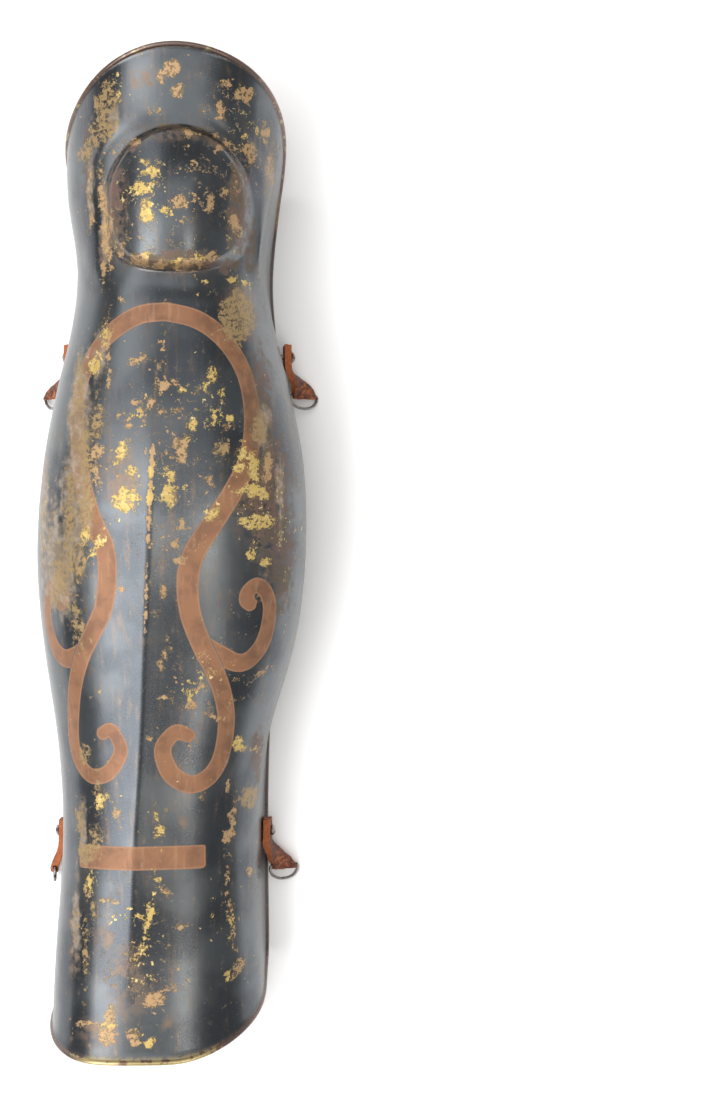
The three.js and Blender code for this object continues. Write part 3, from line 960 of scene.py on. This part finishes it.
        # Pale brass in the middle of the brightest patches, partly a painted highlight.
        metal = s.blend(golden.step(1.0, 1.4) * 0.7, metal, self.pale_brass_and_highlight)
        metal = s.blend(olive * 0.75, metal, self.olive)
        metal = s.blend(grain.fine.step(0.5, 0.7) * 0.45, metal, self.tan)
        return worn.most(flecks), fringe, metal

    def _flecks(self, s: Shader, veil: Field) -> Field:
        """Small flakes in crowds, with thin curly ones among them.

        Args:
            s: the sheet's shader.
            veil: where the tan film lies.

        Returns:
            1 on a fleck.
        """
        share = s.attribute("flecks")
        crowd = s.noise(self.crowd_mm, 2, 0.5).step(0.42, 0.6)
        scatter = s.noise(self.fleck_mm, 5, 0.62) + (share * 0.095 * crowd).most(veil * 0.12)
        line = abs(s.noise(self.squiggle_mm, 4, 0.62) - 0.5).step(0.012, 0.004)
        squiggles = line * s.noise(6, 3, 0.6).step(0.54, 0.57) * share.step(0.25, 0.6)
        return scatter.step(*self.fleck_level).most(squiggles)

    def _rim_colour(self, s: Shader, rub_and_highlight: Field) -> Field:
        """The rolled edge, with rubbed brass that is partly a painted highlight on the ankle rim.
        """
        spots = (s.noise(5, 4, 0.7) + rub_and_highlight * 0.24).step(0.66, 0.71)
        return s.blend(spots, self.rim, self.worn_rim_and_highlight)


@dataclass(frozen=True)
class StrapLeather:
    """Old brown leather with raw orange-brown edges."""

    grain: Colour = (0.15, 0.05, 0.024)
    dark: Colour = (0.06, 0.021, 0.013)
    raw: Colour = (0.43, 0.135, 0.05)
    raw_dark: Colour = (0.27, 0.075, 0.027)
    patch_mm: float = 4.5
    scuff_mm: float = 2.2
    crack_mm: float = 1.3
    fibre_mm: float = 0.5
    relief_mm: float = 0.22

    def material(self) -> bpy.types.Material:
        """Make the finish.

        Returns:
            The material.
        """
        s = Shader("strap_leather")
        patches = s.noise(self.patch_mm, 4, 0.6)
        fibres = s.noise(self.fibre_mm, 3, 0.7)
        cracks = s.cells(self.crack_mm)
        colour = s.blend(patches.step(0.36, 0.62), self.dark, self.grain)
        scuffed = s.noise(self.scuff_mm, 4, 0.7).step(0.5, 0.62)
        colour = s.blend(scuffed * 0.8, colour, self.raw)
        cut = (s.attribute("cut") + (patches - 0.5) * 0.5).step(0.3, 0.6)
        suede = s.blend(fibres.step(0.35, 0.6), self.raw_dark, self.raw)
        colour = s.blend(cut, colour, suede)
        rough = 0.72 + cut * 0.2 - (1.0 - scuffed) * 0.12
        height = fibres * 0.5 + cracks * 0.5
        varying = {"Base Color": colour, "Roughness": rough}
        return s.surface({"Specular IOR Level": 0.35}, varying, height, self.relief_mm)


@dataclass(frozen=True)
class WornSteel:
    """Steel with patches of brown rust."""

    name: str
    steel: Colour = (0.36, 0.34, 0.32)
    rust: Colour = (0.09, 0.05, 0.035)
    rust_share: float = 0.5
    patch_mm: float = 2.4
    pit_mm: float = 0.4
    relief_mm: float = 0.06

    def material(self) -> bpy.types.Material:
        """Make the finish.

        Returns:
            The material.
        """
        s = Shader(self.name)
        patches = s.noise(self.patch_mm, 4, 0.6)
        pits = s.noise(self.pit_mm, 3, 0.6)
        spread = 0.2 * self.rust_share
        rusty = patches.step(0.62 - spread, 0.7 - spread)
        colour = s.blend(rusty, self.steel, self.rust)
        rough, metallic = 0.32 + rusty * 0.3, 1.0 - rusty * 0.4
        varying = {"Base Color": colour, "Roughness": rough, "Metallic": metallic}
        return s.surface({}, varying, pits + patches * 0.5, self.relief_mm)


@dataclass(frozen=True)
class PaleFloor:
    """A plain white table."""

    colour: Colour = (0.9, 0.9, 0.9)

    def material(self) -> bpy.types.Material:
        """Make the finish.

        Returns:
            The material.
        """
        s = Shader("pale_floor")
        constants = {"Base Color": s.colour(self.colour), "Roughness": 0.9}
        constants["Specular IOR Level"] = 0.1
        return s.surface(constants, {}, s.noise(40), 0.0)


# ---- the brass sheet ----
@dataclass(frozen=True)
class BossForm:
    """One form of the raised boss over the knee, in millimetres and shares of its size.

    It is round above and squarer below. The shoulder is its height just inside its edge, as a share
    of its rise, and the step is the reach over which its edge drops to the sheet.
    """

    x: float
    y: float
    half: float
    rise: float
    squareness: float
    shoulder: float
    step: tuple[float, float]

    def reach(self, plan: np.ndarray) -> np.ndarray:
        """How far out places lie, as a share of the boss's size.

        Args:
            plan: one place in plan a row, in millimetres.

        Returns:
            0 at the boss's middle and 1 at its edge.
        """
        dx = np.abs(plan[:, 0] - self.x) / self.half
        dy = (plan[:, 1] - self.y) / self.half
        power = self.squareness + (2 - self.squareness) * smooth_step(dy, -0.6, 0.3)
        return (dx ** power + np.abs(dy) ** power) ** (1 / power)

    def height(self, plan: np.ndarray) -> np.ndarray:
        """The boss's height over the sheet.

        Args:
            plan: one place in plan a row, in millimetres.

        Returns:
            The height at each place, in millimetres.
        """
        reach = self.reach(plan)
        dome = 1 + (self.shoulder - 1) * np.minimum(reach, 1) ** 2
        return self.rise * dome * (1 - smooth_step(reach, *self.step))


@dataclass(frozen=True)
class KneeBoss:
    """Hammers the soft edge of the boss to a short steep step."""

    soft: BossForm = BossForm(4.7, 170.5, 33, 12, 4, 0.72, (0.84, 1.06))
    crisp: BossForm = BossForm(6.0, 170.8, 34, 12.5, 2.9, 0.5, (0.9, 1.03))
    smoothing_mm: float = 4.5
    zone: tuple[float, float] = (1.2, 1.45)
    margin: float = 0.2
    sampled: int = 5
    batch: int = 500

    def shape(self, places: np.ndarray) -> np.ndarray:
        """Give the boss its crisp form.

        Args:
            places: points of one face of the sheet, in millimetres.

        Returns:
            The height of each point.
        """
        plan = places[:, :2]
        heights = places[:, 2].copy()
        near = np.flatnonzero(self.soft.reach(plan) < self.zone[1] + self.margin)
        few = near[::self.sampled]
        sheet = places[few, 2] - self.soft.height(plan[few])
        smooth = np.empty(len(near))
        for some in np.array_split(np.arange(len(near)), max(1, len(near) // self.batch)):
            gaps = ((plan[near[some], None] - plan[few][None]) ** 2).sum(2)
            share = np.exp(-gaps / (2 * self.smoothing_mm ** 2))
            smooth[some] = share @ sheet / share.sum(1)
        formed = smooth + self.crisp.height(plan[near])
        weight = 1 - smooth_step(self.soft.reach(plan[near]), *self.zone)
        heights[near] += weight * (formed - heights[near])
        return heights


@dataclass(frozen=True)
class Folds:
    """The folds that keep their edge when the sheet is smoothed.

    The keel lies between its left and right, over its floor and below its top. A fold there is kept
    the more, the further it turns beyond its flat angle.
    """

    keel_left: float = -0.022
    keel_right: float = 0.003
    keel_floor: float = 0.06
    keel_top: float = 0.065
    keel_degrees: float = 9.0
    keel_flat_degrees: float = 5.0
    keel_full_degrees: float = 22.0
    keel_most: float = 0.75
    roll_degrees: float = 65.0
    roll_crease: float = 0.6

    def crease(self, edge: bmesh.types.BMEdge) -> float:
        """How far an edge is kept.

        Args:
            edge: an edge between two faces.

        Returns:
            0 for an edge that is smoothed away, up to 1 for a sharp one.
        """
        turn = math.degrees(edge.calc_face_angle())
        first, second = (vert.co for vert in edge.verts)
        middle = (first + second) / 2
        lengthwise = abs(second.y - first.y) > 2 * abs(second.x - first.x)
        across_keel = self.keel_left < middle.x < self.keel_right
        on_keel = across_keel and middle.z > self.keel_floor and middle.y < self.keel_top
        if lengthwise and on_keel and turn > self.keel_degrees:
            return min(self.keel_most, (turn - self.keel_flat_degrees) / self.keel_full_degrees)
        return self.roll_crease if turn > self.roll_degrees else 0.0

    def keep(self, piece: bpy.types.Object) -> None:
        """Crease the keel and the groove along the roll.

        Args:
            piece: the sheet, before it is smoothed.
        """
        mesh = bmesh.new()
        mesh.from_mesh(piece.data)
        crease = mesh.edges.layers.float.new("crease_edge")
        for edge in mesh.edges:
            if len(edge.link_faces) == 2:
                edge[crease] = self.crease(edge)
        mesh.to_mesh(piece.data)
        mesh.free()


@dataclass(frozen=True)
class KeelWear:
    """The line along the keel where the patina is worn off, in millimetres.

    Each fade is how much narrower the worn line gets, and the places along the sheet where that
    starts and is complete.
    """

    left: float = -22.0
    right: float = 3.0
    low: int = -235
    high: int = 58
    spacing: int = 5
    bends: int = 5
    farthest: float = 8.0
    fades: tuple[tuple[float, float, float], ...] = ((2.2, -20, -70), (6, 52, 62), (-0.6, 8, 24))

    def write(self, piece: bpy.types.Object, outside: np.ndarray) -> None:
        """Store how far each point lies from the worn line.

        Args:
            piece: the finished sheet.
            outside: whether each point belongs to the outer face.
        """
        places = points_of(piece) / MM
        x, y, z = places.T
        near = outside & (y < self.high) & (x > self.left) & (x < self.right)
        stations = range(self.low, self.high, self.spacing)
        crest = []
        for station in stations:
            ring = np.flatnonzero(near & (np.abs(y - station) < self.spacing / 2))
            crest.append(x[ring[z[ring].argmax()]])
        line = np.polyval(np.polyfit(stations, crest, self.bends), y)
        fade = sum(amount * smooth_step(y, start, end) for amount, start, end in self.fades)
        away = np.minimum(np.abs(x - line) + fade, self.farthest)
        write_attribute(piece, "keel", np.where(outside, away, self.farthest))


@dataclass(frozen=True)
class EdgeWear:
    """How far the patina has been rubbed off the rolled edge, over lengths in millimetres.

    Along the ankle it is worn most in the middle, where its brass is also a painted highlight
    along the rim, and round the knee more towards the top.
    """

    everywhere: float = 0.1
    ankle_along: tuple[float, float] = (-215, -240)
    ankle_middle: float = -10.0
    ankle_across: tuple[float, float] = (45, 25)
    knee: float = 0.3
    knee_along: tuple[float, float] = (165, 205)

    def write(self, piece: bpy.types.Object) -> None:
        """Store how far each point is rubbed, with the painted highlight on the ankle rim.

        Args:
            piece: the finished sheet.
        """
        x, y, _ = points_of(piece).T / MM
        # Rubbed brass along the middle of the ankle rim, partly a painted highlight.
        ankle = smooth_step(np.abs(x - self.ankle_middle), *self.ankle_across)
        ankle = ankle * smooth_step(y, *self.ankle_along)
        knee = self.knee * smooth_step(y, *self.knee_along)
        write_attribute(piece, "rub_and_highlight", np.clip(ankle + knee + self.everywhere, 0, 1))


@dataclass(frozen=True)
class BrassSheet:
    """The one-piece sheet with its rolled edge.

    The outer face is marked 1 and the inner face 0 in the attribute "outside", and the attribute
    "rim" is 1 on the rolled edge between them.
    """

    node: str = "greave_shell"
    quad_degrees: float = 60.0
    fold_degrees: float = 45.0
    shading_degrees: float = 50.0
    facing_down: float = -0.9
    levels: int = 2
    decorated_from: float = 0.034
    wholly_outside: float = 0.99
    partly_outside: float = 0.4
    on_roll: float = 0.3
    lengthwise: float = 0.8
    unevenness_mm: tuple[tuple[float, float], ...] = ((48, 0.5), (20, 0.16))
    folds: Folds = Folds()
    boss: KneeBoss = KneeBoss()
    boss_floor: float = 0.055
    scroll: Scroll = Scroll()
    wear: WearMap = WearMap()
    keel_wear: KeelWear = KeelWear()
    edge_wear: EdgeWear = EdgeWear()

    def build(self) -> bpy.types.Object:
        """Model the sheet.

        Returns:
            The finished piece, without its finish.
        """
        piece = copy_of_node(self.node, "brass_sheet")
        make_active(piece)
        bpy.ops.object.mode_set(mode="EDIT")
        bpy.ops.mesh.select_all(action="SELECT")
        bend = math.radians(self.quad_degrees)
        bpy.ops.mesh.tris_convert_to_quads(face_threshold=bend, shape_threshold=bend)
        bpy.ops.object.mode_set(mode="OBJECT")
        self._mark_faces(piece)
        self.folds.keep(piece)
        subdivide_smoothly(piece, self.levels)
        self._refine_outside(piece)
        self._crispen_boss(piece)
        self._make_uneven(piece)
        make_active(piece)
        bpy.ops.object.shade_smooth_by_angle(angle=math.radians(self.shading_degrees))
        return piece

    def _mark_faces(self, piece: bpy.types.Object) -> None:
        """Store which points belong to the outer face and which to the rolled edge.

        Args:
            piece: the sheet, before it is smoothed.
        """
        mesh = bmesh.new()
        mesh.from_mesh(piece.data)
        mesh.faces.ensure_lookup_table()
        highest = max(mesh.faces, key=lambda face: face.calc_center_median().z)
        outer = self._smooth_region(highest)
        below = [f for f in mesh.faces if f.normal.z < self.facing_down and f not in outer]
        inner = self._smooth_region(max(below, key=lambda face: face.calc_center_median().z))
        outside = np.zeros(len(mesh.verts))
        rim = np.zeros(len(mesh.verts))
        for vert in mesh.verts:
            faces = vert.link_faces
            rolled = [face for face in faces if face not in inner and face not in outer]
            outside[vert.index] = 1 - sum(face in inner for face in faces) / len(faces)
            rim[vert.index] = len(rolled) / len(faces)
        mesh.free()
        for name, values in (("outside", outside), ("rim", rim)):
            values[(values > 0) & (values < 1)] = 0.5
            write_attribute(piece, name, values)

    def _smooth_region(self, start: bmesh.types.BMFace) -> set[bmesh.types.BMFace]:
        """The faces that a fingertip reaches without crossing a fold.

        Args:
            start: the face that it starts on.

        Returns:
            The faces, with the first one.
        """
        fold = math.radians(self.fold_degrees)
        reached = {start}
        waiting = [start]
        while waiting:
            face = waiting.pop()
            for edge in face.edges:
                if len(edge.link_faces) != 2 or edge.calc_face_angle() > fold:
                    continue
                for other in edge.link_faces:
                    if other not in reached:
                        reached.add(other)
                        waiting.append(other)
        return reached

    def _refine_outside(self, piece: bpy.types.Object) -> None:
        """Halve the lengthwise edges of the outer face, so that bands have fine outlines.

        Args:
            piece: the smoothed sheet.
        """
        outside = read_attribute(piece, "outside") > self.wholly_outside
        rim = read_attribute(piece, "rim") > self.on_roll
        make_active(piece)
        bpy.ops.object.mode_set(mode="EDIT")
        bpy.ops.mesh.select_mode(type="EDGE")
        bpy.ops.mesh.select_all(action="DESELECT")
        bpy.ops.object.mode_set(mode="OBJECT")
        places = points_of(piece)
        ends = np.empty(len(piece.data.edges) * 2, int)
        piece.data.edges.foreach_get("vertices", ends)
        first, second = ends.reshape(-1, 2).T
        along = np.abs(places[second] - places[first])
        lengthwise = along[:, 1] > self.lengthwise * np.linalg.norm(along, axis=1)
        decorated = places[:, 2] > self.decorated_from
        wanted = lengthwise & outside[first] & outside[second] & ~(rim[first] & rim[second])
        wanted &= decorated[first] | decorated[second]
        piece.data.edges.foreach_set("select", wanted)
        bpy.ops.object.mode_set(mode="EDIT")
        bpy.ops.mesh.subdivide(number_cuts=1)
        bpy.ops.object.mode_set(mode="OBJECT")

    def _crispen_boss(self, piece: bpy.types.Object) -> None:
        """Hammer the edge of the knee boss to a short steep step.

        Args:
            piece: the smoothed sheet.
        """
        places = points_of(piece)
        outside = read_attribute(piece, "outside") > 0.5
        high = places[:, 2] > self.boss_floor
        for face in (outside & high, ~outside & high):
            places[face, 2] = self.boss.shape(places[face] / MM) * MM
        move_points(piece, places)

    def _make_uneven(self, piece: bpy.types.Object) -> None:
        """Move the sheet in and out a little, as hammering leaves it.

        Args:
            piece: the smoothed sheet.
        """
        places = points_of(piece)
        outside = read_attribute(piece, "outside")
        still = smooth_step(read_attribute(piece, "rim"), 0.0, 0.5)
        lift = sum(noise_at(places, size, size) * depth for size, depth in self.unevenness_mm)
        lift *= (1 - still) * MM * np.where(outside > 0.5, 1, -1)
        move_points(piece, places + normals_of(piece) * lift[:, None])

    def dress(self, piece: bpy.types.Object) -> None:
        """Store the scroll and the wear on the sheet, and give it its finish.

        Args:
            piece: the finished sheet.
        """
        places = points_of(piece)
        outside = read_attribute(piece, "outside") > self.partly_outside
        surface = BVHTree.FromObject(piece, bpy.context.evaluated_depsgraph_get())
        far = self.scroll.farthest_mm
        arms = self.scroll.distances(places, self.scroll.arms, surface)
        arms = np.minimum(arms, self.scroll.bar.distance(places[:, :2] / MM))
        curls = self.scroll.distances(places, self.scroll.curls, surface)
        for name, values in (("scroll_arm", arms), ("scroll_curl", curls)):
            write_attribute(piece, name, np.where(outside, np.minimum(values, far), far))
        self.wear.write(piece, outside.astype(float))
        self.keel_wear.write(piece, outside)
        self.edge_wear.write(piece)
        finish_piece(piece, self.node, PatinatedBrass().material())


# ---- strap fittings ----
class Place(Enum):
    """Where a strap fitting is riveted."""

    UPPER_RIGHT = "upper_right"
    UPPER_LEFT = "upper_left"
    LOWER_RIGHT = "lower_right"
    LOWER_LEFT = "lower_left"


@dataclass(frozen=True)
class FittingFinishes:
    """The finishes that all fittings share."""

    leather: bpy.types.Material
    rivet: bpy.types.Material
    ring: bpy.types.Material


@dataclass(frozen=True)
class StrapFitting:
    """One folded tab with its rivet and its D-ring."""

    place: Place
    finishes: FittingFinishes
    fibre_mm: float = 0.24
    rough_mm: tuple[tuple[float, float], ...] = ((3.2, 0.7), (1.1, 0.3))
    worn_off_mm: float = 0.12
    slice_mm: float = 1.5
    dent_mm: float = 1.6
    dent_depth_mm: float = 0.16
    head_degrees: float = 45.0
    levels: int = 2

    def build(self) -> None:
        """Model and dress the three pieces."""
        self._tab()
        self._rivet()
        self._ring()

    def _tab(self) -> None:
        """The folded leather tab with worn, fibrous edges."""
        node = f"strap_tab_{self.place.value}"
        piece = copy_of_node(node, f"leather_{node}")
        fibre = self.fibre_mm * MM
        apply_modifier(piece, "REMESH", mode="VOXEL", voxel_size=fibre, use_smooth_shade=True)
        apply_modifier(piece, "SMOOTH", factor=0.5, iterations=2)
        cut = self._cut_share(piece)
        places = points_of(piece)
        lift = sum(noise_at(places, size, size * 3) * depth for size, depth in self.rough_mm)
        lift = (lift * (0.5 + cut) - self.worn_off_mm) * MM
        move_points(piece, places + normals_of(piece) * lift[:, None])
        write_attribute(piece, "cut", cut)
        make_active(piece)
        bpy.ops.object.shade_smooth()
        finish_piece(piece, node, self.finishes.leather)

    def _cut_share(self, piece: bpy.types.Object) -> np.ndarray:
        """How far each point faces sideways out of the leather.

        Args:
            piece: the tab.

        Returns:
            1 on a cut edge and 0 on the grain.
        """
        places = points_of(piece)
        normals = normals_of(piece)
        share = np.zeros(len(places))
        order = ((places[:, 1] - places[:, 1].min()) / (self.slice_mm * MM)).astype(int)
        for number in np.unique(order):
            here = order == number
            around = np.abs(order - number) <= 1
            flat = places[around][:, [0, 2]]
            flat = flat - flat.mean(0)
            thin = np.linalg.svd(flat, full_matrices=False)[2][1]
            share[here] = 1 - np.abs(normals[here][:, [0, 2]] @ thin)
        return share

    def _rivet(self) -> None:
        """The rivet with its hammered heads."""
        node = f"rivet_{self.place.value}"
        piece = copy_of_node(node, f"domed_{node}")
        subdivide_smoothly(piece, self.levels)
        places = points_of(piece)
        lift = noise_at(places, self.dent_mm, 2.0) * self.dent_depth_mm * MM
        move_points(piece, places + normals_of(piece) * lift[:, None])
        make_active(piece)
        bpy.ops.object.shade_smooth_by_angle(angle=math.radians(self.head_degrees))
        finish_piece(piece, node, self.finishes.rivet)

    def _ring(self) -> None:
        """The bent wire ring."""
        node = f"d_ring_{self.place.value}"
        piece = copy_of_node(node, f"wire_{node}")
        subdivide_smoothly(piece, self.levels)
        make_active(piece)
        bpy.ops.object.shade_smooth()
        finish_piece(piece, node, self.finishes.ring)


# ---- light, floor and camera ----
@dataclass(frozen=True)
class SoftBox:
    """A flat lamp beside or over the table, turned in to its middle, in metres."""

    name: str
    place: tuple[float, float, float]
    size: tuple[float, float]
    brightness: float
    colour: Colour = (1.0, 1.0, 1.0)

    def build(self) -> None:
        """Hang the lamp."""
        lamp = bpy.data.lights.new(self.name, "AREA")
        lamp.shape = "RECTANGLE"
        lamp.size, lamp.size_y = self.size
        lamp.energy = self.brightness * math.pi * self.size[0] * self.size[1]
        lamp.color = self.colour
        hung = bpy.data.objects.new(self.name, lamp)
        hung.location = self.place
        hung.rotation_euler = (0, math.atan2(self.place[0], self.place[2]), 0)
        hung.visible_camera = False
        bpy.context.scene.collection.objects.link(hung)


@dataclass(frozen=True)
class SkyLight:
    """Even light from a wide opening overhead, which the brass doesn't mirror."""

    strength: float = 2.3
    lean_degrees: float = 16.0
    width_degrees: float = 70.0

    def build(self) -> None:
        """Hang the light."""
        lamp = bpy.data.lights.new("sky_light", "SUN")
        lamp.energy = self.strength
        lamp.angle = math.radians(self.width_degrees)
        hung = bpy.data.objects.new("sky_light", lamp)
        hung.rotation_euler = (0, -math.radians(self.lean_degrees), 0)
        hung.visible_glossy = False
        bpy.context.scene.collection.objects.link(hung)


@dataclass(frozen=True)
class Studio:
    """The pale table, the lamps over it and the camera."""

    floor_size: float = 60.0
    eye: tuple[float, float, float] = (0.088, 0.0048, 1.0)
    lens_mm: float = 42.04
    film_mm: float = 24.0
    surround: float = 0.38
    backdrop: float = 1.0
    lamps: tuple[SoftBox, ...] = (
        SoftBox("left_window", (-0.83, -0.75, 1.5), (0.84, 1.7), 4.5),
        SoftBox("left_knee", (-0.92, 0.95, 1.5), (0.8, 1.6), 1.7),
        SoftBox("above", (0.1, 0.25, 1.6), (1.0, 0.9), 0.88),
        SoftBox("right_strip", (0.51, -0.33, 1.5), (0.26, 0.28), 8.0, (1.0, 0.94, 0.86)),
        SoftBox("right_shin", (0.7, -1.0, 1.5), (0.22, 0.34), 10.0, (1.0, 0.94, 0.86)),
    )

    def build(self) -> None:
        """Set the table, the lamps, the surround and the camera."""
        bpy.context.scene.view_settings.view_transform = "Standard"
        self._floor()
        SkyLight().build()
        for lamp in self.lamps:
            lamp.build()
        self._surround()
        self._camera()

    def _floor(self) -> None:
        """The table top."""
        deselect_all()
        bpy.ops.mesh.primitive_plane_add(size=self.floor_size, location=(0, 0, 0))
        floor = bpy.context.object
        floor.name = "table"
        floor.data.materials.append(PaleFloor().material())

    def _surround(self) -> None:
        """A dim room for the brass to mirror, pale where it is looked at straight."""
        world = bpy.data.worlds.new("room")
        bpy.context.scene.world = world
        room = Nodes(world)
        looked_at = room.node("ShaderNodeLightPath", {}, {}, "Is Camera Ray")
        ends = {"Value": looked_at, "To Min": self.surround, "To Max": self.backdrop}
        strength = room.node("ShaderNodeMapRange", {}, ends)
        white = (1.0, 1.0, 1.0, 1.0)
        light = room.node("ShaderNodeBackground", {}, {"Color": white, "Strength": strength})
        room.node("ShaderNodeOutputWorld", {}, {"Surface": light})

    def _camera(self) -> None:
        """The camera, straight above the table."""
        film = bpy.data.cameras.new("camera")
        film.sensor_fit = "VERTICAL"
        film.sensor_height = self.film_mm
        film.lens = self.lens_mm
        camera = bpy.data.objects.new("camera", film)
        camera.location = self.eye
        bpy.context.scene.collection.objects.link(camera)
        bpy.context.scene.camera = camera


def main() -> None:
    """Build every piece, then light it."""
    logging.basicConfig(level=logging.INFO, format="%(message)s")
    sheet = BrassSheet()
    sheet.dress(sheet.build())
    finishes = FittingFinishes(
        leather=StrapLeather().material(),
        rivet=WornSteel("rivet_steel", rust_share=0.6).material(),
        ring=WornSteel("ring_steel").material(),
    )
    for place in Place:
        StrapFitting(place, finishes).build()
    Studio().build()


if __name__ == "__main__":
    main()
